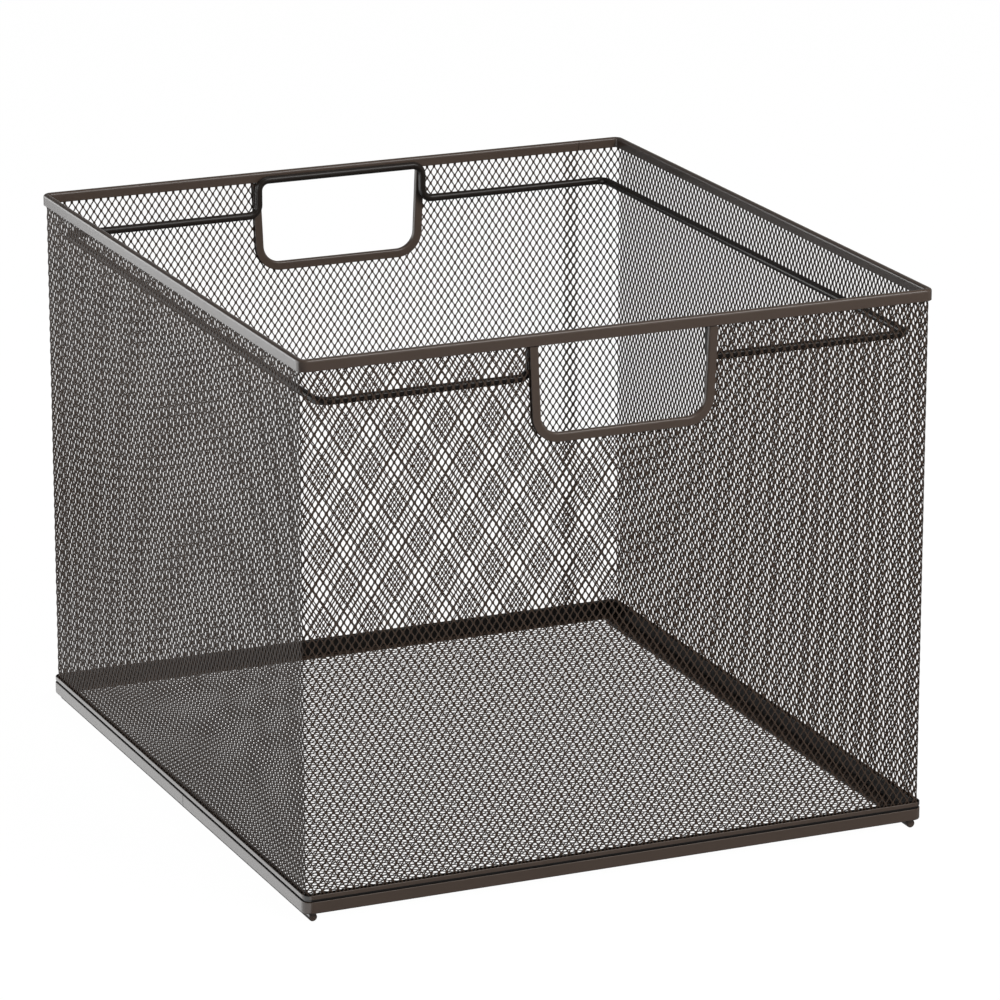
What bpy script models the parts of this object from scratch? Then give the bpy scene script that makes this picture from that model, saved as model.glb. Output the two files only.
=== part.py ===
# Mesh file crate: an open box of expanded steel mesh for hanging folders.
# Units are metres. The crate stands on z = 0, centred on the z axis, with its front towards -Y.

import math

import bmesh
import bpy
from mathutils import Matrix, Vector
from mathutils.geometry import delaunay_2d_cdt

for leftover in list(bpy.data.objects):
    bpy.data.objects.remove(leftover, do_unlink=True)

# Whole crate
WIDTH = 0.3302
DEPTH = 0.3620
BODY_HEIGHT = 0.2720  # underside of the base frame to the top of the rim
CORNER_RADIUS = 0.0048  # outer face at the four upright corners
CORNER_STEPS = 4
WELD_GAP = 0.0003  # left between pieces that are welded together
JOINT_GAP = 0.0004  # between the two ends of one strip

# Runner rods under the base
RUNNER_DIAMETER = 0.0042
RUNNER_INSET = 0.0052  # side face of the crate to the rod's centre
RUNNER_SETBACK = 0.0025  # front or back face of the crate to the rod's end
RUNNER_CHAMFER = 0.0005
RUNNER_SIDES = 12

# Folded strips that clasp the mesh: top rim, base hem and handle trims
STRIP_METAL = 0.0006
MESH_INSET = 0.0017  # outer face of the crate to the middle of the mesh
MESH_ROOM = 0.0022  # clear width inside a strip, where the mesh sits

# Top rim
RIM_HEIGHT = 0.0058
RIM_ROUNDING = 0.0013

# Base frame, an angle whose foot carries the floor
BAND_HEIGHT = 0.0060
FRAME_METAL = 0.0006
FRAME_FOOT = 0.0065
FRAME_JOINT_Y = -0.0160  # where the strip's ends meet on the left side

# Base hem, with its lip above the groove
GROOVE_HEIGHT = 0.0007
LIP_HEIGHT = 0.0027
LIP_INSET = 0.0001
HEM_SLOT_DEPTH = 0.0020
HEM_ROUNDING = 0.0004

# Expanded mesh, drawn at twelve times its real 4 by 6 mm diamonds
SHEET_METAL = 0.0007
NET_SHORT = 0.0480
NET_LONG = 0.0720
STRAND_WIDTH = 0.0026
SMALLEST_GAP = 0.12  # share of a whole diamond below which a cut one is left closed
LAP_INSET = 0.0257  # right side face to the sheet's lap, and to the rim's joint, on the back wall
LAP_WIDTH = 0.0080
LAP_CLEARANCE = 0.00025
LAP_EASE = 0.0060  # length over which the sheet steps aside for the lap
NET_BORDER = 0.0010  # solid edge of the sheet that a strip hides
FLOOR_BORDER = 0.0050

# Handle openings, front and back
OPENING_BOTTOM_WIDTH = 0.0850
OPENING_DROP = 0.0493  # rim top to the opening's lower edge
OPENING_TAPER = math.radians(2.5)
OPENING_RADIUS = 0.0095
TRIM_WIDTH = 0.0045
TRIM_THICKNESS = 0.0032
TRIM_ROUNDING = 0.0011
TRIM_OVERLAP = 0.0030  # how far the mesh reaches into the trim
TRIM_STEPS = 6

# Wire rail for hanging folders
WIRE_DIAMETER = 0.0040
RAIL_SIDE_INSET = 0.0115  # side face of the crate to the wire's centre
RAIL_DROP = 0.0222  # rim top to the wire's centre
RAIL_TOP_DROP = 0.0037  # the same above the handle openings
RAIL_CORNER_RADIUS = 0.0060
RAIL_STEP_RADIUS = 0.0055
RAIL_STEPS = 4

# Paint
PAINT = (0.088, 0.061, 0.046, 1.0)
DARK_PAINT = (0.072, 0.050, 0.038, 1.0)
CREASE_ANGLE = math.radians(35)  # bends up to this angle are shaded as round

# Heights that follow from the sizes above
FRAME_BOTTOM = RUNNER_DIAMETER + WELD_GAP
RIM_TOP = FRAME_BOTTOM + BODY_HEIGHT
RIM_BOTTOM = RIM_TOP - RIM_HEIGHT
STRIP_WIDTH = MESH_ROOM + 2 * STRIP_METAL
SEAT = FRAME_BOTTOM + FRAME_METAL + WELD_GAP
GROOVE_TOP = FRAME_BOTTOM + BAND_HEIGHT + GROOVE_HEIGHT
HEM_TOP = GROOVE_TOP + LIP_HEIGHT
MESH_BOTTOM = HEM_TOP - HEM_SLOT_DEPTH + WELD_GAP
MESH_TOP = RIM_TOP - STRIP_METAL - WELD_GAP
OPENING_BOTTOM = RIM_TOP - OPENING_DROP
TRIM_TOP = RIM_BOTTOM - WELD_GAP
LAP_END = WIDTH / 2 - LAP_INSET


# Finishing helpers
def paint(obj, name, colour, roughness=0.4, metallic=0.35):
    material = bpy.data.materials.new(name)
    material.use_nodes = True
    shader = material.node_tree.nodes["Principled BSDF"]
    shader.inputs["Base Color"].default_value = colour
    shader.inputs["Roughness"].default_value = roughness
    shader.inputs["Metallic"].default_value = metallic
    obj.data.materials.append(material)


def new_object(name, data, colour=PAINT):
    obj = bpy.data.objects.new(name, data)
    bpy.context.scene.collection.objects.link(obj)
    paint(obj, name + "_paint", colour)
    return obj


def mesh_object(name, bm, colour=PAINT):
    bmesh.ops.recalc_face_normals(bm, faces=bm.faces)
    mesh = bpy.data.meshes.new(name)
    bm.to_mesh(mesh)
    bm.free()
    return new_object(name, mesh, colour)


def rounded(obj):
    """The same object, shaded as round except at its creases."""
    obj.data.shade_smooth()
    obj.data.set_sharp_from_angle(angle=CREASE_ANGLE)
    return obj


def arc(centre, radius, start, end, steps):
    """Points on a circle round centre, from the start to the end angle in degrees."""
    points = []
    for i in range(steps + 1):
        angle = math.radians(start + (end - start) * i / steps)
        points.append((centre[0] + radius * math.cos(angle), centre[1] + radius * math.sin(angle)))
    return points


def loft(name, lines, closed, colour=PAINT):
    """A solid whose lines run along it: line j is the path of corner j of its cross-section."""
    bm = bmesh.new()
    rows = [[bm.verts.new(point) for point in line] for line in lines]
    count = len(rows[0])
    for j, row in enumerate(rows):
        above = rows[(j + 1) % len(rows)]
        for i in range(count if closed else count - 1):
            k = (i + 1) % count
            bm.faces.new((row[i], row[k], above[k], above[i]))
    if not closed:
        bm.faces.new([row[0] for row in rows])
        bm.faces.new([row[-1] for row in reversed(rows)])
    return rounded(mesh_object(name, bm, colour))


# Rounded rectangle that every strip and the mesh follow
def around(inset, joint=None):
    """Points clockwise round the crate at an inset from its outer face.

    A joint is ("back", x) or ("left", y): the line is then open there, with the joint gap.
    """
    radius = max(CORNER_RADIUS - inset, 0.0004)
    half_x = WIDTH / 2 - inset
    half_y = DEPTH / 2 - inset
    corners = [
        arc((half_x - radius, half_y - radius), radius, 90, 0, CORNER_STEPS),
        arc((half_x - radius, -half_y + radius), radius, 0, -90, CORNER_STEPS),
        arc((-half_x + radius, -half_y + radius), radius, -90, -180, CORNER_STEPS),
        arc((-half_x + radius, half_y - radius), radius, 180, 90, CORNER_STEPS),
    ]
    if joint is None:
        return [point for corner in corners for point in corner]
    side, place = joint
    if side == "back":
        first = (place + JOINT_GAP / 2, half_y)
        last = (place - JOINT_GAP / 2, half_y)
    else:
        first = (-half_x, place + JOINT_GAP / 2)
        last = (-half_x, place - JOINT_GAP / 2)
        corners = corners[3:] + corners[:3]
    return [first] + [point for corner in corners for point in corner] + [last]


def ring(name, profile, joint=None, colour=PAINT):
    """A strip round the crate whose cross-section is given as (inset, height) corners."""
    lines = [[(x, y, z) for x, y in around(inset, joint)] for inset, z in profile]
    return loft(name, lines, joint is None, colour)


def channel(width, depth, metal, rounding, steps=3):
    """Cross-section of a folded U, as (across, along): its rounded back lies at along = 0."""
    back = arc((rounding, rounding), rounding, 180, 270, steps)
    back += arc((width - rounding, rounding), rounding, 270, 360, steps)
    legs = [(width, depth), (width - metal, depth), (width - metal, metal), (metal, metal), (metal, depth)]
    return [(0, depth)] + back + legs


# Runner rods
def runner(name, side):
    """A rod that lies on one of its flats, with chamfered ends."""
    flat_radius = RUNNER_DIAMETER / 2
    point_radius = flat_radius / math.cos(math.pi / RUNNER_SIDES)
    length = DEPTH - 2 * RUNNER_SETBACK
    bm = bmesh.new()
    bmesh.ops.create_cone(
        bm, cap_ends=True, segments=RUNNER_SIDES, radius1=point_radius, radius2=point_radius, depth=length
    )
    ends = [edge for edge in bm.edges if abs(edge.verts[0].co.z - edge.verts[1].co.z) < 1e-6]
    bmesh.ops.bevel(bm, geom=ends, offset=RUNNER_CHAMFER, segments=1, affect="EDGES")
    turn = Matrix.Rotation(math.pi / 2, 4, "X") @ Matrix.Rotation(math.pi / RUNNER_SIDES, 4, "Z")
    bmesh.ops.transform(bm, matrix=turn, verts=bm.verts)
    rod = rounded(mesh_object(name, bm))
    rod.location = (side * (WIDTH / 2 - RUNNER_INSET), 0, flat_radius)
    return rod


runner("runner_left", -1)
runner("runner_right", 1)


# Base frame
band_top = FRAME_BOTTOM + BAND_HEIGHT
foot_top = FRAME_BOTTOM + FRAME_METAL
frame_profile = [
    (0, FRAME_BOTTOM),
    (0, band_top),
    (FRAME_METAL, band_top),
    (FRAME_METAL, foot_top),
    (FRAME_FOOT, foot_top),
    (FRAME_FOOT, FRAME_BOTTOM),
]
ring("base_frame", frame_profile, ("left", FRAME_JOINT_Y))


# Base hem
behind_band = FRAME_METAL + WELD_GAP
slot_floor = HEM_TOP - HEM_SLOT_DEPTH
hem_profile = [
    (STRIP_WIDTH, SEAT),
    (behind_band, SEAT),
    (behind_band, GROOVE_TOP),
    (LIP_INSET + HEM_ROUNDING, GROOVE_TOP),
    (LIP_INSET, GROOVE_TOP + HEM_ROUNDING),
    (LIP_INSET, HEM_TOP - HEM_ROUNDING),
    (LIP_INSET + HEM_ROUNDING, HEM_TOP),
    (STRIP_METAL, HEM_TOP),
    (STRIP_METAL, slot_floor),
    (STRIP_METAL + MESH_ROOM, slot_floor),
    (STRIP_METAL + MESH_ROOM, HEM_TOP),
    (STRIP_WIDTH, HEM_TOP),
]
ring("base_hem", hem_profile)


# Top rim
rim_profile = [
    (across, RIM_TOP - along)
    for across, along in channel(STRIP_WIDTH, RIM_HEIGHT, STRIP_METAL, RIM_ROUNDING)
]
ring("top_rim", rim_profile, ("back", LAP_END))


# Handle openings
def opening_line(offset, top):
    """U-shaped line in (x, z) round a handle opening, an offset outside its clear edge."""
    lean = OPENING_TAPER
    centre_x = OPENING_BOTTOM_WIDTH / 2 - OPENING_RADIUS * (1 - math.sin(lean)) / math.cos(lean)
    centre_z = OPENING_BOTTOM + OPENING_RADIUS
    radius = OPENING_RADIUS + offset
    right = arc((centre_x, centre_z), radius, -90, -math.degrees(lean), TRIM_STEPS)
    rise = top - right[-1][1]
    right.append((right[-1][0] + rise * math.tan(lean), top))
    left = [(-x, z) for x, z in reversed(right)]
    return left + right


def handle_trim(name, side):
    """The strip over the mesh's edge at one opening: side is -1 at the front and 1 at the back."""
    middle = DEPTH / 2 - MESH_INSET
    lines = []
    for across, along in channel(TRIM_THICKNESS, TRIM_WIDTH, STRIP_METAL, TRIM_ROUNDING):
        y = side * (middle + TRIM_THICKNESS / 2 - across)
        lines.append([(x, y, z) for x, z in opening_line(along, TRIM_TOP)])
    return loft(name, lines, False)


handle_trim("handle_trim_front", -1)
handle_trim("handle_trim_back", 1)


# Wire rail
def rail_wall(side):
    """The wire's points along the front (side -1) or back (1) wall, from the middle to the right."""
    y = side * (DEPTH / 2 - STRIP_WIDTH - WELD_GAP - WIRE_DIAMETER / 2)
    low = RIM_TOP - RAIL_DROP
    high = RIM_TOP - RAIL_TOP_DROP
    lean = (TRIM_TOP - OPENING_BOTTOM) * math.tan(OPENING_TAPER)
    rise_x = OPENING_BOTTOM_WIDTH / 2 + lean + TRIM_WIDTH / 2
    step = RAIL_STEP_RADIUS
    line = arc((rise_x - step, high - step), step, 90, 0, RAIL_STEPS)
    line += arc((rise_x + step, low + step), step, 180, 270, RAIL_STEPS)
    points = [(x, y, z) for x, z in line]
    bend = RAIL_CORNER_RADIUS
    rail_x = WIDTH / 2 - RAIL_SIDE_INSET
    corner = arc((rail_x - bend, y - side * bend), bend, side * 90, 0, RAIL_STEPS)
    return points + [(x, y_bend, low) for x, y_bend in corner]


def mirrored(points):
    return [(-x, y, z) for x, y, z in reversed(points)]


front_rail = rail_wall(-1)
back_rail = rail_wall(1)
rail_points = front_rail + back_rail[::-1] + mirrored(back_rail)[::-1] + mirrored(front_rail)
rail_curve = bpy.data.curves.new("file_rail", "CURVE")
rail_curve.dimensions = "3D"
rail_curve.bevel_depth = WIRE_DIAMETER / 2
rail_curve.bevel_resolution = 2
rail_spline = rail_curve.splines.new("POLY")
rail_spline.points.add(len(rail_points) - 1)
for spline_point, place in zip(rail_spline.points, rail_points):
    spline_point.co = (*place, 1)
rail_spline.use_cyclic_u = True
new_object("file_rail", rail_curve)


# Expanded mesh
def clip(polygon, normal, limit):
    """The part of a convex polygon where the dot product with normal is at most limit."""
    kept = []
    for i, point in enumerate(polygon):
        after = polygon[(i + 1) % len(polygon)]
        here = point.dot(normal) - limit
        there = after.dot(normal) - limit
        if here <= 0:
            kept.append(point)
        if here * there < 0:
            kept.append(point.lerp(after, here / (here - there)))
    return kept


def area(polygon):
    total = 0
    for i, point in enumerate(polygon):
        after = polygon[(i + 1) % len(polygon)]
        total += point.x * after.y - after.x * point.y
    return abs(total) / 2


def diamonds(low, high, pitch_x, pitch_y, phase_x, phase_y, keep_outs):
    """Diamond gaps between the corners low and high, kept outside convex outlines.

    Each outline is a list of (normal, reach): its points lie within reach along each normal.
    """
    half_x = pitch_x / 2 * (1 - STRAND_WIDTH * math.hypot(1 / pitch_x, 1 / pitch_y))
    half_y = half_x * pitch_y / pitch_x
    whole = 2 * half_x * half_y
    columns = range(
        math.floor((low[0] - phase_x) / pitch_x * 2) - 1, math.ceil((high[0] - phase_x) / pitch_x * 2) + 2
    )
    rows = range(
        math.floor((low[1] - phase_y) / pitch_y * 2) - 1, math.ceil((high[1] - phase_y) / pitch_y * 2) + 2
    )
    gaps = []
    for column in columns:
        for row in rows:
            if (column + row) % 2:
                continue
            middle = Vector((phase_x + column * pitch_x / 2, phase_y + row * pitch_y / 2))
            gap = [
                middle + Vector((half_x, 0)),
                middle + Vector((0, half_y)),
                middle - Vector((half_x, 0)),
                middle - Vector((0, half_y)),
            ]
            gap = clip(gap, Vector((-1, 0)), -low[0])
            gap = clip(gap, Vector((1, 0)), high[0])
            gap = clip(gap, Vector((0, -1)), -low[1])
            gap = clip(gap, Vector((0, 1)), high[1])
            for outline in keep_outs:
                gap = max((clip(gap, -normal, -reach) for normal, reach in outline), key=area)
            if len(gap) > 2 and area(gap) > SMALLEST_GAP * whole:
                gaps.append(gap)
    return gaps


def net(outline, gaps, notches, fold_lines, place):
    """A flat sheet with its gaps and notches cut out, folded into space by place(x, y)."""
    points = list(outline)
    edges = [(i, (i + 1) % len(outline)) for i in range(len(outline))]
    faces = []
    for hole in gaps + notches:
        first = len(points)
        points += hole
        faces.append(list(range(first, first + len(hole))))
    for start, end in fold_lines:
        edges.append((len(points), len(points) + 1))
        points += [start, end]
    flat = delaunay_2d_cdt(points, edges, faces, 0, 1e-7)
    bm = bmesh.new()
    verts = [bm.verts.new(place(point.x, point.y)) for point in flat[0]]
    for corners, inside in zip(flat[2], flat[5]):
        if not inside:
            bm.faces.new([verts[i] for i in corners])
    loose = [vert for vert in bm.verts if not vert.link_faces]
    bmesh.ops.delete(bm, geom=loose, context="VERTS")
    return bm


def thicken(obj):
    solid = obj.modifiers.new("Sheet", "SOLIDIFY")
    solid.thickness = SHEET_METAL
    solid.offset = 0
    solid.use_even_offset = True


# Wall mesh: x is the length along the sheet from its first edge, clockwise from the lap
bend_radius = CORNER_RADIUS - MESH_INSET
flat_x = WIDTH / 2 - CORNER_RADIUS
flat_y = DEPTH / 2 - CORNER_RADIUS
bend_length = math.pi / 2 * bend_radius
sheet_start = LAP_END - LAP_WIDTH
walls = [
    (Vector((sheet_start, flat_y + bend_radius)), Vector((1, 0)), flat_x - sheet_start),
    (Vector((flat_x + bend_radius, flat_y)), Vector((0, -1)), 2 * flat_y),
    (Vector((flat_x, -flat_y - bend_radius)), Vector((-1, 0)), 2 * flat_x),
    (Vector((-flat_x - bend_radius, -flat_y)), Vector((0, 1)), 2 * flat_y),
    (Vector((-flat_x, flat_y + bend_radius)), Vector((1, 0)), flat_x + sheet_start + LAP_WIDTH),
]
wall_starts = []
sheet_length = 0
for _, _, wall_length in walls:
    wall_starts.append(sheet_length)
    sheet_length += wall_length + bend_length
sheet_length -= bend_length
girth = sheet_length - LAP_WIDTH


def side_step(length):
    """How far the sheet lies inwards of its middle line, so that its two ends pass at the lap."""
    reach = (SHEET_METAL + LAP_CLEARANCE) / 2
    first = min(max((LAP_WIDTH + LAP_EASE - length) / LAP_EASE, 0), 1)
    last = min(max((length - girth + LAP_EASE) / LAP_EASE, 0), 1)
    return reach * (last - first)


def on_wall(length, height):
    """The point in space at a length along the sheet and a height."""
    wall = max(i for i, start in enumerate(wall_starts) if length >= start - 1e-9)
    origin, along, wall_length = walls[wall]
    travelled = length - wall_starts[wall]
    inwards = Vector((along.y, -along.x))
    step = side_step(length)
    spot = origin + along * min(travelled, wall_length) + inwards * step
    if travelled > wall_length + 1e-9:
        turn = (travelled - wall_length) / bend_radius
        centre = origin + along * wall_length + inwards * bend_radius
        spot = centre - inwards * bend_radius * math.cos(turn) + along * bend_radius * math.sin(turn)
    return Vector((spot.x, spot.y, height))


fold_places = [LAP_WIDTH, LAP_WIDTH + LAP_EASE, girth - LAP_EASE, girth]
for start, (_, _, wall_length) in list(zip(wall_starts, walls))[:-1]:
    fold_places += [start + wall_length + bend_length * i / CORNER_STEPS for i in range(CORNER_STEPS + 1)]
folds = [(Vector((place, MESH_BOTTOM)), Vector((place, MESH_TOP))) for place in fold_places]
opening_middles = [wall_starts[2] + flat_x, wall_starts[4] + flat_x]
notch_offset = TRIM_WIDTH - TRIM_OVERLAP
notch_shapes = []
trim_outlines = []
for middle in opening_middles:
    notch_shapes.append([Vector((middle + x, z)) for x, z in opening_line(notch_offset, MESH_TOP)])
    hidden = [Vector((middle + x, z)) for x, z in opening_line(TRIM_WIDTH - NET_BORDER, MESH_TOP)]
    outline = []
    for angle in range(180, 361, 30):
        normal = Vector((math.cos(math.radians(angle)), math.sin(math.radians(angle))))
        outline.append((normal, max(point.dot(normal) for point in hidden)))
    trim_outlines.append(outline)
sheet_outline = [
    Vector((0, MESH_BOTTOM)),
    Vector((sheet_length, MESH_BOTTOM)),
    Vector((sheet_length, MESH_TOP)),
    Vector((0, MESH_TOP)),
]
wall_pitch = girth / round(girth / NET_SHORT)
wall_gaps = diamonds(
    (NET_BORDER, HEM_TOP - NET_BORDER),
    (sheet_length - NET_BORDER, RIM_BOTTOM + NET_BORDER),
    wall_pitch,
    NET_LONG,
    opening_middles[0],
    (HEM_TOP + RIM_BOTTOM) / 2,
    trim_outlines,
)
wall_mesh = mesh_object("wall_mesh", net(sheet_outline, wall_gaps, notch_shapes, folds, on_wall), DARK_PAINT)
thicken(wall_mesh)


# Floor mesh, with its long diamonds lying across the crate
floor_middle = SEAT + SHEET_METAL / 2
floor_inset = STRIP_WIDTH + WELD_GAP
floor_x = WIDTH / 2 - FRAME_FOOT - FLOOR_BORDER
floor_y = DEPTH / 2 - FRAME_FOOT - FLOOR_BORDER
floor_gaps = diamonds((-floor_x, -floor_y), (floor_x, floor_y), NET_LONG, NET_SHORT, 0, 0, [])
floor_outline = [Vector(point) for point in around(floor_inset)]
floor_mesh = mesh_object(
    "floor_mesh",
    net(floor_outline, floor_gaps, [], [], lambda x, y: Vector((x, y, floor_middle))),
    DARK_PAINT,
)
thicken(floor_mesh)
print("gaps in the walls", len(wall_gaps), "and in the floor", len(floor_gaps))
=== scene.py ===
# Mesh file crate: its finish and fine shape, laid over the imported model. Units are metres.

import math

import bpy
import numpy as np
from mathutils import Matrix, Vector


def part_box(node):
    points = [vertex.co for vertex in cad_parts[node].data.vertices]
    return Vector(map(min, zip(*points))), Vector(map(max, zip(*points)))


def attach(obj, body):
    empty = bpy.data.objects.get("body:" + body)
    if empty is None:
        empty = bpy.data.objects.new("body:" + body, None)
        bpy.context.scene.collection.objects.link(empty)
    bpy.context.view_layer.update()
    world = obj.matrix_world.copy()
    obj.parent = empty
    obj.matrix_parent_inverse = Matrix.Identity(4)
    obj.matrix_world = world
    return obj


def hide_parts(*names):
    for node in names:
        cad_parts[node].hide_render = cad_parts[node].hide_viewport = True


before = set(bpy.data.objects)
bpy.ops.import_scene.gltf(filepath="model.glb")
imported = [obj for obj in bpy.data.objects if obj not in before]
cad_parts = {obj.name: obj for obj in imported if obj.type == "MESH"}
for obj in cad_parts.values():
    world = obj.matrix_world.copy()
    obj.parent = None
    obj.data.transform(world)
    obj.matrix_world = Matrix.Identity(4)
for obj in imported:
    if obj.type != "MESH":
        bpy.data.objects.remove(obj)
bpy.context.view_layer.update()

# Base frame
# A strip of mild steel, 0.6 mm thick, folded to an angle and bent round the four corners.
# Its ends meet halfway along the left side, and its foot is spot-welded under the floor.
frame_low, frame_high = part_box("base_frame")
half_x = frame_high.x
half_y = frame_high.y
corner_radius = 0.0048
tightest_bend = 0.0004
strip_metal = 0.0006
strip_bronze = (0.088, 0.061, 0.046)


class Value:
    """One output of a material's node. Sums, differences and products of values add Math nodes."""

    def __init__(self, tree, socket):
        self.tree = tree
        self.socket = socket

    def node(self, kind, settings, inputs, output=0):
        """A node of that kind: its settings come first, then its sockets' numbers, colours or values."""
        made = self.tree.nodes.new(kind)
        for name, setting in settings.items():
            setattr(made, name, setting)
        for key, given in inputs.items():
            if isinstance(given, Value):
                self.tree.links.new(given.socket, made.inputs[key])
            else:
                made.inputs[key].default_value = given
        return Value(self.tree, made.outputs[output])

    def maths(self, operation, first, second):
        return self.node("ShaderNodeMath", {"operation": operation}, {0: first, 1: second})

    def __add__(self, other):
        return self.maths("ADD", self, other)

    __radd__ = __add__

    def __sub__(self, other):
        return self.maths("SUBTRACT", self, other)

    def __rsub__(self, other):
        return self.maths("SUBTRACT", other, self)

    def __mul__(self, other):
        return self.maths("MULTIPLY", self, other)

    __rmul__ = __mul__

    def mottle(self, grains_per_metre, detail=2.0, roughness=0.5):
        """Cloudy noise from 0 to 1 at this place."""
        sockets = {"Vector": self, "Scale": grains_per_metre, "Detail": detail, "Roughness": roughness}
        return self.node("ShaderNodeTexNoise", {}, sockets)

    def blend(self, low, high):
        """The colour that is low where this value is 0 and high where it is 1."""
        settings = {"data_type": "RGBA", "blend_type": "MIX"}
        return self.node("ShaderNodeMix", settings, {0: self, 6: low, 7: high}, output=2)


def bronze_paint(name, colour, gloss_loss, shine, lacquer, spread, grain):
    """Baked satin paint with so much shine of its own, under so much clear lacquer.

    Colour = colour x (1 - spread .. 1 + spread) by 0.65 x cloud + 0.35 x speck, roughness =
    gloss_loss + 0.12 x (cloud - 0.5) + 0.08 x (speck - 0.5), and the orange peel is a bump that is
    grain metres high.
    """
    finish = bpy.data.materials.new(name)
    finish.use_nodes = True
    tree = finish.node_tree
    shader = tree.nodes["Principled BSDF"]
    shader.inputs["IOR"].default_value = 1.5
    shader.inputs["Specular IOR Level"].default_value = shine
    shader.inputs["Coat Weight"].default_value = lacquer
    shader.inputs["Coat Roughness"].default_value = 0.16
    shader.inputs["Coat IOR"].default_value = 1.5
    place = Value(tree, tree.nodes.new("ShaderNodeTexCoord").outputs["Object"])
    cloud = place.mottle(38.0, 3.0)
    speck = place.mottle(1500.0, 2.0, 0.7)
    peel = place.mottle(900.0, 1.0)
    dark = (*[part * (1 - spread) for part in colour], 1)
    light = (*[part * (1 + spread) for part in colour], 1)
    shade = (0.65 * cloud + 0.35 * speck).blend(dark, light)
    roughness = gloss_loss + 0.12 * (cloud - 0.5) + 0.08 * (speck - 0.5)
    bump = place.node("ShaderNodeBump", {}, {"Strength": 0.35, "Distance": grain, "Height": peel})
    tree.links.new(shade.socket, shader.inputs["Base Color"])
    tree.links.new(roughness.socket, shader.inputs["Roughness"])
    tree.links.new(bump.socket, shader.inputs["Normal"])
    return finish


def steel(name, points, faces, crease=40):
    """A piece from corner points (n, 3) and arrays of corner numbers, one row for each face.

    Its volume is the sum of a . (b x c) / 6 over the triangles a, b, c of its faces. Where that is
    below 0 the faces point inwards, and all are turned round. Bends up to the crease look round.
    """
    volume = 0.0
    for block in faces:
        corner = points[block]
        volume += (corner[:, :1] * np.cross(corner[:, 1:-1], corner[:, 2:])).sum()
    if volume < 0:
        faces = [block[:, ::-1] for block in faces]
    loops = np.concatenate([block.ravel() for block in faces]).astype(np.int32)
    sizes = np.concatenate([np.full(len(block), block.shape[1]) for block in faces])
    mesh = bpy.data.meshes.new(name)
    mesh.vertices.add(len(points))
    mesh.vertices.foreach_set("co", points.astype(np.float32).ravel())
    mesh.loops.add(len(loops))
    mesh.loops.foreach_set("vertex_index", loops)
    mesh.polygons.add(len(sizes))
    mesh.polygons.foreach_set("loop_start", (np.cumsum(sizes) - sizes).astype(np.int32))
    mesh.update(calc_edges=True)
    mesh.shade_smooth()
    mesh.set_sharp_from_angle(angle=math.radians(crease))
    piece = bpy.data.objects.new(name, mesh)
    bpy.context.scene.collection.objects.link(piece)
    return piece


def fitted(piece, finish, node):
    """The piece with its finish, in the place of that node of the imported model."""
    piece.data.materials.append(finish)
    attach(piece, "root")
    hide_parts(node)
    return piece


def carried(name, grid, closed):
    """The skin of a cross-section carried along a path: grid[i, j] is its corner j at step i."""
    steps, corners = grid.shape[:2]
    number = np.arange(steps * corners).reshape(steps, corners)
    here = number if closed else number[:-1]
    ahead = np.roll(number, -1, 0) if closed else number[1:]
    quads = np.stack([here, np.roll(here, -1, 1), np.roll(ahead, -1, 1), ahead], -1).reshape(-1, 4)
    faces = [quads]
    if not closed:
        faces += [number[:1, ::-1], number[-1:]]
    return steel(name, grid.reshape(-1, 3), faces)


def crate_line(inset, turns=8, joint=None):
    """Rounded rectangle at each inset from the crate's outer face, clockwise seen from above.

    With r = max(R - inset, tightest bend), a corner's centre lies inset + r inside both faces, and its
    points are centre + r (cos a, sin a) while a falls by 90 degrees in equal turns, with one more
    point 0.2 mm along the straight before and after. A joint is (side, place of the ends, gap).
    """
    inset = np.atleast_1d(inset)
    radius = np.maximum(corner_radius - inset, tightest_bend)
    first = np.radians([90, 0, -90, 180])[:, None, None]
    angle = first - np.linspace(0, math.pi / 2, turns + 1)[None, :, None]
    quarter = np.array([[1, 1], [1, -1], [-1, -1], [-1, 1]])[:, None, None, :]
    centre = quarter * (np.array([half_x, half_y]) - (inset + radius)[:, None])
    arc = centre + radius[:, None] * np.stack([np.cos(angle), np.sin(angle)], -1)
    ahead = 0.0002 * np.stack([np.sin(angle), -np.cos(angle)], -1)
    line = np.concatenate([arc[:, :1] - ahead[:, :1], arc, arc[:, -1:] + ahead[:, -1:]], 1)
    if joint is None:
        return line.reshape(-1, len(inset), 2)
    side, place, gap = joint
    place = np.broadcast_to(place, inset.shape)
    if side == "left":
        line = np.roll(line, 1, 0)
        ends = [np.stack([inset - half_x, place + way * gap / 2], -1) for way in (1, -1)]
    else:
        ends = [np.stack([place + way * gap / 2, half_y - inset], -1) for way in (1, -1)]
    return np.concatenate([ends[0][None], line.reshape(-1, len(inset), 2), ends[1][None]], 0)


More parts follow.
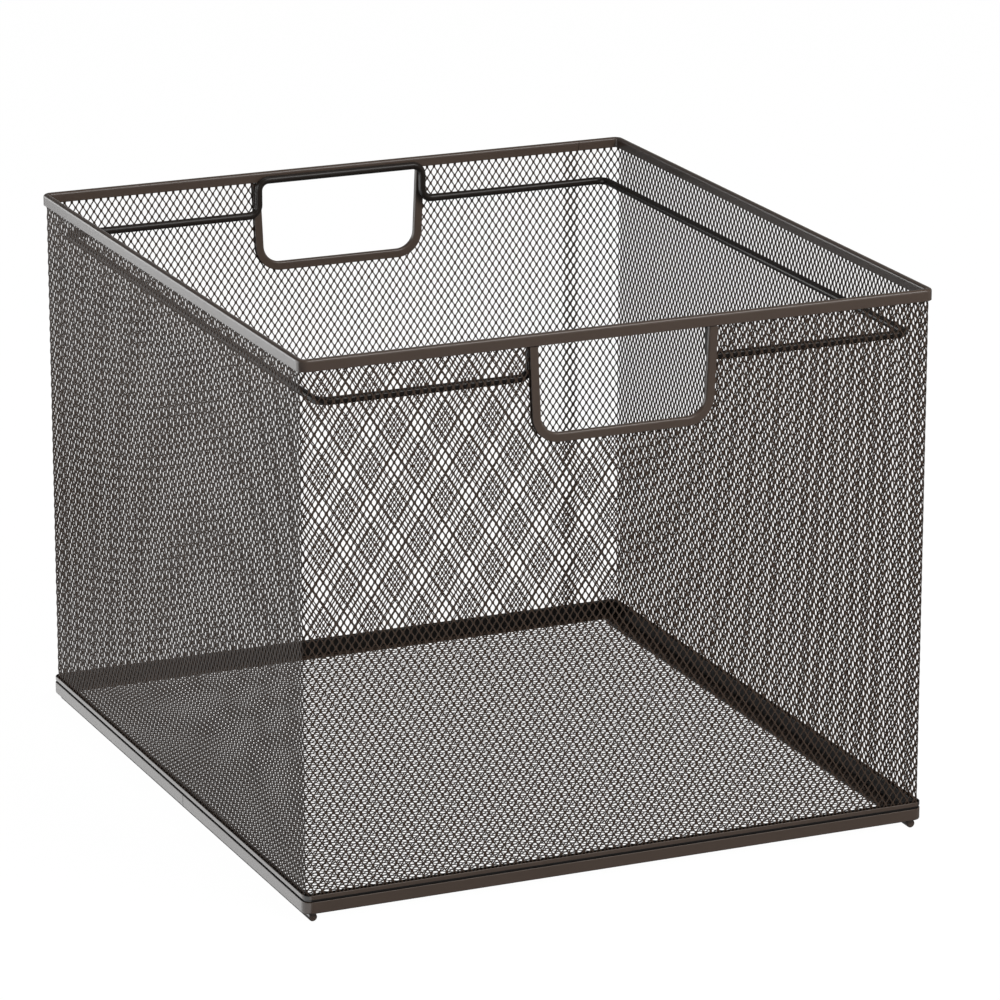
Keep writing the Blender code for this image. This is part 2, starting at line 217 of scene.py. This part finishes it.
def folded(corners, radii, steps=4):
    """A closed outline with its corners rounded, each by its own radius.

    At corner p, with unit directions u and v towards its neighbours and the angle w between them,
    the arc starts at p + u r / tan(w/2), its centre is p + (u + v) / |u + v| x r / sin(w/2), and its
    points swing from start to end by equal angles. One more point lies 0.06 mm beyond either end.
    """
    corners = np.array(corners, float)
    radii = np.array(radii, float)[:, None]
    before = np.roll(corners, 1, 0) - corners
    after = np.roll(corners, -1, 0) - corners
    before /= np.linalg.norm(before, axis=1, keepdims=True)
    after /= np.linalg.norm(after, axis=1, keepdims=True)
    middle = before + after
    middle /= np.linalg.norm(middle, axis=1, keepdims=True)
    half = np.arccos(np.clip((before * after).sum(1), -1, 1))[:, None] / 2
    reach = radii / np.tan(half)
    centre = corners + middle * radii / np.sin(half)
    start = corners + before * reach - centre
    end = corners + after * reach - centre
    swing = math.pi - 2 * half[:, :, None]
    share = np.linspace(0, 1, steps + 1)[None, :, None]
    arc = np.sin((1 - share) * swing) * start[:, None] + np.sin(share * swing) * end[:, None]
    arc = arc / np.sin(swing) + centre[:, None]
    lead = 0.00006
    first = arc[:, :1] + lead * before[:, None]
    last = arc[:, -1:] + lead * after[:, None]
    line = np.concatenate([first, arc, last], 1)
    return line.reshape(-1, 2)


def strip(name, profile, joint=None):
    """A strip round the crate from its cross-section, given as (inset, height)."""
    line = crate_line(profile[:, 0], joint=joint)
    height = np.broadcast_to(profile[:, 1, None], (*line.shape[:2], 1))
    return carried(name, np.concatenate([line, height], -1), joint is None)


strip_paint = bronze_paint("strip_bronze_paint", strip_bronze, 0.32, 0.5, 0.8, 0.10, 0.00006)
band_bottom = frame_low.z
band_top = frame_high.z
foot_reach = 0.0065
frame_joint_y = -0.0160
frame_joint_gap = 0.0004
angle_profile = folded(
    [
        (0, band_bottom),
        (0, band_top),
        (strip_metal, band_top),
        (strip_metal, band_bottom + strip_metal),
        (foot_reach, band_bottom + strip_metal),
        (foot_reach, band_bottom),
    ],
    [0.0007, 0.00028, 0.00028, 0.0001, 0.00012, 0.00012],
)
angle_strip = strip("angle_strip", angle_profile, ("left", frame_joint_y, frame_joint_gap))
fitted(angle_strip, strip_paint, "base_frame")


# Runner rods
# Two round mild-steel rods, 4.2 mm thick, cut square with their edges broken.
# They are welded lengthwise under the base frame, and the crate slides and stacks on them.
def rod(name, node):
    """A rod along y: x = X + r(t) cos a and z = R + r(t) sin a, with r(t) following its rounded end."""
    low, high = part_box(node)
    radius = (high.z - low.z) / 2
    middle = (low.x + high.x) / 2
    bevel = 0.0005
    turn = np.linspace(0, math.pi / 2, 5)
    rise = np.concatenate([[0.55 * radius], radius - bevel + bevel * np.sin(turn), [radius]])
    along = np.concatenate([[0.0], bevel - bevel * np.cos(turn), [bevel + 0.0004]])
    rise = np.concatenate([rise, rise[::-1]])
    place = np.concatenate([low.y + along, high.y - along[::-1]])
    angle = np.arange(28) * math.tau / 28
    x = middle + rise[:, None] * np.cos(angle)
    z = low.z + radius + rise[:, None] * np.sin(angle)
    y = np.broadcast_to(place[:, None], x.shape)
    return fitted(carried(name, np.stack([x, y, z], -1), False), strip_paint, node)


rod("rod_left", "runner_left")
rod("rod_right", "runner_right")


# Mesh floor
# A flat sheet of expanded steel, slit and stretched to diamonds of 4 by 6 mm that lie across
# the crate. It is pressed down inside the base frame's foot, and welded to that foot.
mesh_bronze = (0.072, 0.050, 0.038)
mesh_paint = bronze_paint("mesh_bronze_paint", mesh_bronze, 0.32, 0.12, 0.0, 0.12, 0.00003)
strand_width = 0.00069
strand_metal = 0.00037
strand_tilt = math.radians(9)
bond_length = 0.0011
row_pitch = 0.0030


def strands(first, count, pitch, bottom, top):
    """Zigzag strands of expanded mesh that run along z, with the sheet's length s across them.

    Strand k lies between columns k and k + 1. At row j its side is +1 where k + j is even, else -1,
    and its middle is s = (k + 1/2) pitch - side (pitch / 2 - h cos f), n = side h sin f, with h half
    its width and f its tilt out of the sheet. Two rings, half a bond below and above each row, have
    their corners at +-h (cos f, sin f) +- t/2 (-sin f, cos f). The height stops at bottom and top.
    """
    half = strand_width / 2
    k = np.arange(first, first + count)[:, None]
    rows = int(math.ceil((np.max(top) - bottom) / row_pitch)) + 1
    j = np.repeat(np.arange(rows), 2)[None, :]
    side = np.where((k + j) % 2 == 0, 1.0, -1.0)
    s = (k + 0.5) * pitch - side * (pitch / 2 - half * math.cos(strand_tilt))
    n = side * half * math.sin(strand_tilt)
    z = bottom + j * row_pitch + np.tile([-0.5, 0.5], rows)[None, :] * bond_length
    z = np.clip(np.broadcast_to(z, s.shape), bottom, np.broadcast_to(top, (count,))[:, None])
    wide = half * np.array([math.cos(strand_tilt), math.sin(strand_tilt)])
    thick = strand_metal / 2 * np.array([-math.sin(strand_tilt), math.cos(strand_tilt)])
    corner = np.stack([-wide - thick, wide - thick, wide + thick, -wide + thick])
    ring = np.empty((*s.shape, 4, 3))
    ring[..., 0] = s[..., None] + corner[:, 0]
    ring[..., 1] = n[..., None] + corner[:, 1]
    ring[..., 2] = z[..., None]
    return ring


def mesh_sheet(name, ring, place):
    """The strands' skin in space: rings that were stopped at one height are left out, ends are closed."""
    count, rings = ring.shape[:2]
    number = np.arange(count * rings * 4).reshape(count, rings, 4)
    tall = np.diff(ring[:, :, 0, 2], axis=1) > 1e-6
    here, ahead = number[:, :-1][tall], number[:, 1:][tall]
    quads = np.stack([here, np.roll(here, -1, 1), np.roll(ahead, -1, 1), ahead], -1).reshape(-1, 4)
    start = np.argmax(tall, axis=1)
    end = rings - 1 - np.argmax(tall[:, ::-1], axis=1)
    kept = np.arange(count)
    caps = np.concatenate([number[kept, start][:, ::-1], number[kept, end]])
    used, corner = np.unique(np.concatenate([quads, caps]), return_inverse=True)
    points = place(ring.reshape(-1, 3)[used])
    return steel(name, points, [corner.reshape(-1, 4)], crease=20)


floor_low, floor_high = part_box("floor_mesh")
floor_rest = (floor_low.z + floor_high.z) / 2
floor_sink = 0.0005
sink_from = 0.0074
sink_over = 0.0012
diamond_width = 0.0040
floor_depth = floor_high.y - floor_low.y
floor_pitch = floor_depth / (2 * round(floor_depth / diamond_width))


def on_floor(points):
    """(s, n, z) laid down: y = Y - s, x = z - X, and the height falls by the sink inside the foot."""
    x = floor_low.x + points[:, 2]
    y = floor_high.y - points[:, 0]
    edge = np.minimum(half_x - np.abs(x), half_y - np.abs(y))
    fall = np.clip((edge - sink_from) / sink_over, 0, 1)
    height = floor_rest + points[:, 1] - floor_sink * fall * fall * (3 - 2 * fall)
    return np.stack([x, y, height], -1)


floor_count = int(round(floor_depth / floor_pitch))
floor_length = floor_high.x - floor_low.x
for part, first in enumerate(np.arange(2) * (floor_count // 2)):
    count = floor_count // 2 if part == 0 else floor_count - floor_count // 2
    flat = strands(first, count, floor_pitch, 0.0, floor_length)
    fitted(mesh_sheet(f"floor_strands_{part + 1}", flat, on_floor), mesh_paint, "floor_mesh")


# Base hem
# A second strip, folded over the lower edge of the wall mesh and bent round the crate.
# It stands on the base frame's foot, with a rounded lip outside above a narrow groove. In the
# groove and inside the crate its colour is painted near black, as painted shade.
hem_low, hem_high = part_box("base_hem")
strip_width = 0.0034
lip_inset = 0.0001
lip_drop = 0.0001
upright_inset = strip_metal + 0.0003
slot_floor = hem_high.z - 0.0018
groove_top = hem_high.z - 0.0023
hem_profile = folded(
    [
        (strip_width, hem_low.z),
        (upright_inset, hem_low.z),
        (upright_inset, groove_top),
        (lip_inset, groove_top),
        (lip_inset, hem_high.z - lip_drop),
        (strip_metal, hem_high.z - lip_drop),
        (strip_metal, slot_floor),
        (strip_width - strip_metal, slot_floor),
        (strip_width - strip_metal, hem_high.z),
        (strip_width, hem_high.z),
    ],
    [0.0003, 0.0001, 0.0001, 0.0004, 0.00028, 0.0001, 0.0001, 0.0001, 0.0001, 0.0002],
)
hem_paint_and_painted_shade = bronze_paint("hem_bronze_paint_and_painted_shade", strip_bronze, 0.32, 0.5, 0.8, 0.10, 0.00006)
hem_shader = hem_paint_and_painted_shade.node_tree.nodes["Principled BSDF"]
outside_shade = Value(hem_paint_and_painted_shade.node_tree, hem_shader.inputs["Base Color"].links[0].from_socket)
# Painted shade: near black for the groove's back and the hem's inner faces, in place of their shadow.
painted_shade_inside = (0.006, 0.005, 0.004, 1)
hem_place = outside_shade.node("ShaderNodeTexCoord", {}, {}, output="Object")
from_middle = hem_place.node("ShaderNodeVectorMath", {"operation": "ABSOLUTE"}, {0: hem_place})
edge_x = half_x - from_middle.node("ShaderNodeSeparateXYZ", {}, {"Vector": from_middle}, output=0)
edge_y = half_y - from_middle.node("ShaderNodeSeparateXYZ", {}, {"Vector": from_middle}, output=1)
inset = edge_x.maths("MINIMUM", edge_x, edge_y)
# Painted shade mask: 0 at 0.5 mm and 1 at 0.8 mm in from the outer face, blending the bronze to near black.
painted_shade_mask = inset.node("ShaderNodeMapRange", {}, {"Value": inset, "From Min": 0.0005, "From Max": 0.0008})
hem_colour_and_painted_shade = painted_shade_mask.blend(outside_shade, painted_shade_inside)
hem_paint_and_painted_shade.node_tree.links.new(hem_colour_and_painted_shade.socket, hem_shader.inputs["Base Color"])
fitted(strip("folded_hem", hem_profile), hem_paint_and_painted_shade, "base_hem")


# Mesh walls
# One long sheet of the same expanded steel, its diamonds upright, bent round the four corners
# and lapped on itself on the back wall, with a notch in front and back for the handle openings.
wall_low, wall_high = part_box("wall_mesh")
mesh_inset = 0.0017
lap_end = half_x - 0.0257
lap_width = 0.0080
lap_ease = 0.0060
lap_step = 0.0004
bend = corner_radius - mesh_inset
flat_x = half_x - corner_radius
flat_y = half_y - corner_radius
lap_start = lap_end - lap_width
bend_length = math.pi / 2 * bend
wall_from = np.array(
    [
        (lap_start, flat_y + bend),
        (flat_x + bend, flat_y),
        (flat_x, -flat_y - bend),
        (-flat_x - bend, -flat_y),
        (-flat_x, flat_y + bend),
    ]
)
wall_way = np.array([(1, 0), (0, -1), (-1, 0), (0, 1), (1, 0)], float)
wall_run = np.array([flat_x - lap_start, 2 * flat_y, 2 * flat_x, 2 * flat_y, flat_x + lap_start + lap_width])
wall_begin = np.concatenate([[0], np.cumsum(wall_run + bend_length)[:-1]])
sheet_length = wall_begin[-1] + wall_run[-1]
girth = sheet_length - lap_width
wall_pitch = girth / (2 * round(girth / diamond_width))


def on_wall(points):
    """(s, n, z) in space, with n outwards from the middle of the sheet.

    On a straight wall it is from + way s - inwards n. Round a bend of radius r it turns about the
    bend's centre by (s - run) / r. Near the lap the sheet steps in or out by 0.4 mm over 6 mm.
    """
    s, n, z = points.T
    wall = np.clip(np.searchsorted(wall_begin, s, side="right") - 1, 0, len(wall_begin) - 1)
    way = wall_way[wall]
    inwards = np.stack([way[:, 1], -way[:, 0]], -1)
    run = wall_run[wall]
    travelled = s - wall_begin[wall]
    turn = np.where(wall < len(wall_begin) - 1, np.clip(travelled - run, 0, bend_length), 0) / bend
    first = np.clip((lap_width + lap_ease - s) / lap_ease, 0, 1)
    last = np.clip((s - girth + lap_ease) / lap_ease, 0, 1)
    depth = lap_step * (last - first) - n
    straight = np.where(turn > 0, run, travelled)[:, None]
    base = wall_from[wall] + way * straight + inwards * bend
    spoke = (bend - depth)[:, None] * (np.sin(turn)[:, None] * way - np.cos(turn)[:, None] * inwards)
    return np.concatenate([base + spoke, z[:, None]], 1)


opening_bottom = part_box("handle_trim_front")[0].z + 0.0045
opening_half = 0.0425
opening_lean = math.radians(2.5)
opening_radius = 0.0095
edge_cover = 0.0015
arc_x = opening_half - opening_radius * (1 - math.sin(opening_lean)) / math.cos(opening_lean)
arc_z = opening_bottom + opening_radius


def mesh_top(s):
    """How high the mesh reaches: to the rim, or to 1.5 mm outside an opening's clear edge.

    Below an opening that edge is its floor, then an arc z = Z - sqrt(r^2 - (x - X)^2), then a side
    that leans outwards, z = Z + (x - X') / tan(lean).
    """
    top = np.full(s.shape, wall_high.z)
    radius = opening_radius + edge_cover
    side_x = arc_x + radius * math.cos(opening_lean)
    side_z = arc_z - radius * math.sin(opening_lean)
    for middle in (wall_begin[2] + flat_x, wall_begin[4] + flat_x):
        x = np.abs(s - middle)
        corner = arc_z - np.sqrt(np.clip(radius**2 - np.clip(x - arc_x, 0, radius) ** 2, 0, None))
        edge = np.where(x > side_x, side_z + (x - side_x) / math.tan(opening_lean), corner)
        top = np.minimum(top, edge)
    return top


wall_count = int(round(sheet_length / wall_pitch))
wall_parts = np.linspace(0, wall_count, 7).astype(int)
for part, (first, after) in enumerate(zip(wall_parts[:-1], wall_parts[1:])):
    height = mesh_top((np.arange(first, after) + 0.5) * wall_pitch)
    flat = strands(first, after - first, wall_pitch, wall_low.z, height)
    fitted(mesh_sheet(f"wall_strands_{part + 1}", flat, on_wall), mesh_paint, "wall_mesh")


# Handle trims
# Strips folded to a U over the raw edge of the mesh, bent round each handle opening and welded
# up under the rim, so that no cut strand touches the hand.
trim_thickness = 0.0032
trim_width = 0.0045
trim_section = folded(
    [
        (0, 0),
        (trim_thickness, 0),
        (trim_thickness, trim_width),
        (trim_thickness - strip_metal, trim_width),
        (trim_thickness - strip_metal, strip_metal),
        (strip_metal, strip_metal),
        (strip_metal, trim_width),
        (0, trim_width),
    ],
    [0.0011, 0.0011, 0.00022, 0.0001, 0.0004, 0.0004, 0.0001, 0.00022],
)


def handle_trim(node, side):
    """The strip's section carried round the opening's clear edge.

    At an offset d outside it the line runs down the side that leans by the taper, round an arc of
    radius r + d about (X, Z), along the floor, and up the other side.
    """
    low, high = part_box(node)
    across, offset = trim_section[:, 0], trim_section[:, 1]
    angle = np.linspace(-math.pi / 2, -opening_lean, 13)[:, None]
    x = arc_x + (opening_radius + offset) * np.cos(angle)
    z = arc_z + (opening_radius + offset) * np.sin(angle)
    rise = np.concatenate([np.full((1, len(offset)), 0.0002), high.z - z[-1:]])
    x = np.concatenate([x[:1] - 0.0002, x, x[-1:] + rise * math.tan(opening_lean)])
    z = np.concatenate([z[:1], z, z[-1:] + rise])
    middle = side * (half_y - mesh_inset)
    y = np.broadcast_to(middle + side * (trim_thickness / 2 - across), x.shape)
    right = np.stack([x, y, z], -1)
    left = right[::-1] * np.array([-1, 1, 1])
    piece = carried(node.replace("handle_trim", "folded_trim"), np.concatenate([left, right]), False)
    return fitted(piece, strip_paint, node)


handle_trim("handle_trim_front", -1)
handle_trim("handle_trim_back", 1)


# Top rim
# A strip folded to a U and pressed down over the upper edge of the mesh, its inner leg a little
# shorter. It is bent round the crate, and its ends meet in a slanted joint beside the lap.
rim_low, rim_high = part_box("top_rim")
inner_bottom = rim_low.z + 0.0005
rim_profile = folded(
    [
        (0, rim_low.z),
        (0, rim_high.z),
        (strip_width, rim_high.z),
        (strip_width, inner_bottom),
        (strip_width - strip_metal, inner_bottom),
        (strip_width - strip_metal, rim_high.z - strip_metal),
        (strip_metal, rim_high.z - strip_metal),
        (strip_metal, rim_low.z),
    ],
    [0.00026, 0.0013, 0.0013, 0.00026, 0.0001, 0.0007, 0.0007, 0.0001],
)
rim_joint_x = lap_end + 0.12 * (rim_profile[:, 1] - (rim_low.z + rim_high.z) / 2)
rim_joint_gap = 0.0003
folded_rim = strip("folded_rim", rim_profile, ("back", rim_joint_x, rim_joint_gap))
fitted(folded_rim, strip_paint, "top_rim")


# File rail
# One loop of 4 mm steel wire inside, butt-welded, on which the hooks of hanging folders ride.
# It is bent up and over each handle opening and welded there to the rim and the trims.
rail_low, rail_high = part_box("file_rail")
wire = 0.0020
rail_x = rail_high.x - wire
rail_y = rail_high.y - wire
high_run = rail_high.z - wire
low_run = rail_low.z + wire
step_radius = 0.0055
rail_corner = 0.0060
# Painted shade: the rail gets a far darker copy of the strips' bronze, standing in for the shade it lies in
# inside the crate.
painted_shade_rail_bronze = (0.020, 0.015, 0.012)
painted_shade_rail_paint = bronze_paint("rail_paint_in_painted_shade", painted_shade_rail_bronze, 0.24, 0.5, 0.0, 0.08, 0.00004)
opening_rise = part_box("handle_trim_front")[1].z - opening_bottom
step_x = opening_half + opening_rise * math.tan(opening_lean) + trim_width / 2


def rail_quarter():
    """The wire's middle from the middle of the back wall to the middle of the right side.

    It runs level, falls through a quarter circle and a reversed one to the low run, and turns the
    corner by a third. The second array holds the level direction that points out of the crate.
    """
    quarter = np.linspace(0, math.pi / 2, 9)
    across, down = step_radius * np.sin(quarter), step_radius * (1 - np.cos(quarter))
    upper = np.stack([step_x - step_radius + across, high_run - down], -1)
    lower = np.stack([step_x + down, low_run + step_radius - across], -1)
    top_run = [(0.0, high_run), (0.02, high_run), (upper[0, 0] - 0.0003, high_run)]
    along = np.concatenate([top_run, upper, lower])
    wall = np.insert(along, 1, rail_y, axis=1)
    centre = np.array([rail_x - rail_corner, rail_y - rail_corner])
    flat = centre + rail_corner * np.stack([np.sin(quarter), np.cos(quarter)], -1)
    flat = np.concatenate([flat[:1] - (0.0003, 0), flat, flat[-1:] - (0, 0.0003)])
    turn = np.insert(flat, 2, low_run, axis=1)
    side = np.array([(rail_x, 0.09, low_run), (rail_x, 0.0, low_run)])
    swing = np.concatenate([[0], quarter, [math.pi / 2]])
    level = np.zeros_like(swing)
    outwards = np.concatenate(
        [
            np.tile((0.0, 1.0, 0.0), (len(wall), 1)),
            np.stack([np.sin(swing), np.cos(swing), level], -1),
            np.tile((1.0, 0.0, 0.0), (2, 1)),
        ]
    )
    return np.concatenate([wall, turn, side]), outwards


def mirrored(path, sign):
    """The path seen in a mirror and run the other way; its callers leave out the points that both halves
    share.
    """
    return path[::-1] * np.array(sign, float)


def rail_loop():
    """Four quarters, mirrored in turn, and round each point a ring P + r (cos a A + sin a T x A)."""
    quarter, outwards = rail_quarter()
    half = np.concatenate([quarter[:-1], mirrored(quarter, (1, -1, 1))])
    half_out = np.concatenate([outwards[:-1], mirrored(outwards, (1, -1, 1))])
    path = np.concatenate([half[:-1], mirrored(half, (-1, 1, 1))[:-1]])
    out = np.concatenate([half_out[:-1], mirrored(half_out, (-1, 1, 1))[:-1]])
    tangent = np.roll(path, -1, 0) - np.roll(path, 1, 0)
    tangent /= np.linalg.norm(tangent, axis=1, keepdims=True)
    beside = np.cross(tangent, out)
    angle = (np.arange(20) * math.tau / 20)[None, :, None]
    return path[:, None] + wire * (np.cos(angle) * out[:, None] + np.sin(angle) * beside[:, None])


fitted(carried("folder_rail", rail_loop(), True), painted_shade_rail_paint, "file_rail")


# Floor under the crate and light
# A plain white floor and surround, which reflections see darker overhead and close by.
# Two soft lamps in front at the right and one above light the crate. At its left a low card stands
# and two lie on the floor, which only its shine shows.
floor_material = bpy.data.materials.new("studio_floor")
floor_material.use_nodes = True
floor_tree = floor_material.node_tree
floor_tree.nodes.clear()
floor_sight = Value(floor_tree, floor_tree.nodes.new("ShaderNodeLightPath").outputs["Is Camera Ray"])


def mirrored_sight(camera_ray):
    """1 for a ray that leaves a shiny or clear surface, else 0."""
    outputs = camera_ray.socket.node.outputs
    glossy = Value(camera_ray.tree, outputs["Is Glossy Ray"])
    return glossy.maths("MAXIMUM", glossy, Value(camera_ray.tree, outputs["Is Transmission Ray"]))


def mixed(share, first, second):
    """The first shader, with so much of the second in its place."""
    return share.node("ShaderNodeMixShader", {}, {0: share, 1: first, 2: second})


def glow(sight, strength, kind="ShaderNodeEmission"):
    """White light of one strength."""
    return sight.node(kind, {}, {"Color": (1, 1, 1, 1), "Strength": strength})


matte = floor_sight.node("ShaderNodeBsdfDiffuse", {}, {"Color": (0.28, 0.28, 0.28, 1)})
seen_floor = mixed(0.90 * floor_sight, matte, glow(floor_sight, 1.10))
whole_floor = mixed(0.90 * mirrored_sight(floor_sight), seen_floor, glow(floor_sight, 0.16))
floor_out = floor_tree.nodes.new("ShaderNodeOutputMaterial")
floor_tree.links.new(whole_floor.socket, floor_out.inputs["Surface"])
floor_square = bpy.data.meshes.new("studio_floor")
floor_square.from_pydata([(-6, -6, 0), (6, -6, 0), (6, 6, 0), (-6, 6, 0)], [], [(0, 1, 2, 3)])
floor_square.materials.append(floor_material)
studio_floor = bpy.data.objects.new("studio_floor", floor_square)
bpy.context.scene.collection.objects.link(studio_floor)

world = bpy.data.worlds.new("studio")
bpy.context.scene.world = world
world.use_nodes = True
world_tree = world.node_tree
world_tree.nodes.clear()
world_sight = Value(world_tree, world_tree.nodes.new("ShaderNodeLightPath").outputs["Is Camera Ray"])
direction = Value(world_tree, world_tree.nodes.new("ShaderNodeTexCoord").outputs["Generated"])
rise = direction.node("ShaderNodeSeparateXYZ", {}, {"Vector": direction}, output=2)


def haze(low, high, top):
    """White that fades from the strength at the horizon to the strength at that rise and above."""
    share = rise.node("ShaderNodeMapRange", {}, {"Value": rise, "From Min": 0.0, "From Max": top})
    return mixed(share, *[glow(rise, strength, "ShaderNodeBackground") for strength in (low, high)])


lit_sky = mixed(mirrored_sight(world_sight), haze(0.62, 0.06, 0.5), haze(1.0, 0.10, 0.12))
surround = mixed(world_sight, lit_sky, glow(world_sight, 1.0, "ShaderNodeBackground"))
world_out = world_tree.nodes.new("ShaderNodeOutputWorld")
world_tree.links.new(surround.socket, world_out.inputs["Surface"])


def lamp(name, place, aim, size, power):
    """A soft lamp, its size given across and along, at a place and turned so that it faces its aim."""
    light = bpy.data.lights.new(name, "AREA")
    light.shape = "RECTANGLE"
    light.size, light.size_y = size
    light.energy = power
    made = bpy.data.objects.new(name, light)
    bpy.context.scene.collection.objects.link(made)
    towards = np.array(aim, float) - np.array(place, float)
    flat = math.hypot(towards[0], towards[1])
    made.location = place
    made.rotation_euler = (math.atan2(flat, -towards[2]), 0, math.atan2(towards[1], towards[0]) - math.pi / 2)
    return made


front_lamp = lamp("front_lamp", (0.90, -1.60, 1.85), (0, 0, 0.12), (1.3, 1.3), 34)
front_lamp.visible_glossy = False
lamp("front_sheen", (0.88, -1.56, 1.81), (0, 0, 0.12), (1.3, 1.3), 13)
lamp("top_lamp", (-0.10, 0.10, 1.90), (0, 0, 0.10), (1.2, 1.2), 2)
left_card = lamp("left_card", (-0.50, 0.50, 0.25), (0, 0.50, 0.25), (1.30, 0.50), 3.8)
left_panel = lamp("left_panel", (-0.2165, 0.02, 0.001), (-0.2165, 0.02, 1), (0.100, 0.60), 0.21)
left_panel.rotation_euler = (math.pi, 0, 0)
floor_card = lamp("floor_card", (-0.385, 0.02, 0.001), (-0.385, 0.02, 1), (0.23, 0.70), 0.60)
floor_card.rotation_euler = (math.pi, 0, 0)
for card in (left_card, left_panel, floor_card):
    card.visible_camera = False
    card.visible_diffuse = False

# Camera
# It looks from the front and a little from the left, 17 degrees down, through a long lens.
camera_data = bpy.data.cameras.new("camera")
camera_data.sensor_width = 36.0
camera_data.lens = 193.59
camera_data.clip_end = 50.0
camera = bpy.data.objects.new("camera", camera_data)
camera.location = (-1.03706, -2.39827, 0.92587)
camera.rotation_euler = (math.radians(90 - 16.733), 0, math.radians(-23.688))
bpy.context.scene.collection.objects.link(camera)
bpy.context.scene.camera = camera

view = bpy.context.scene.view_settings
view.view_transform = "Standard"
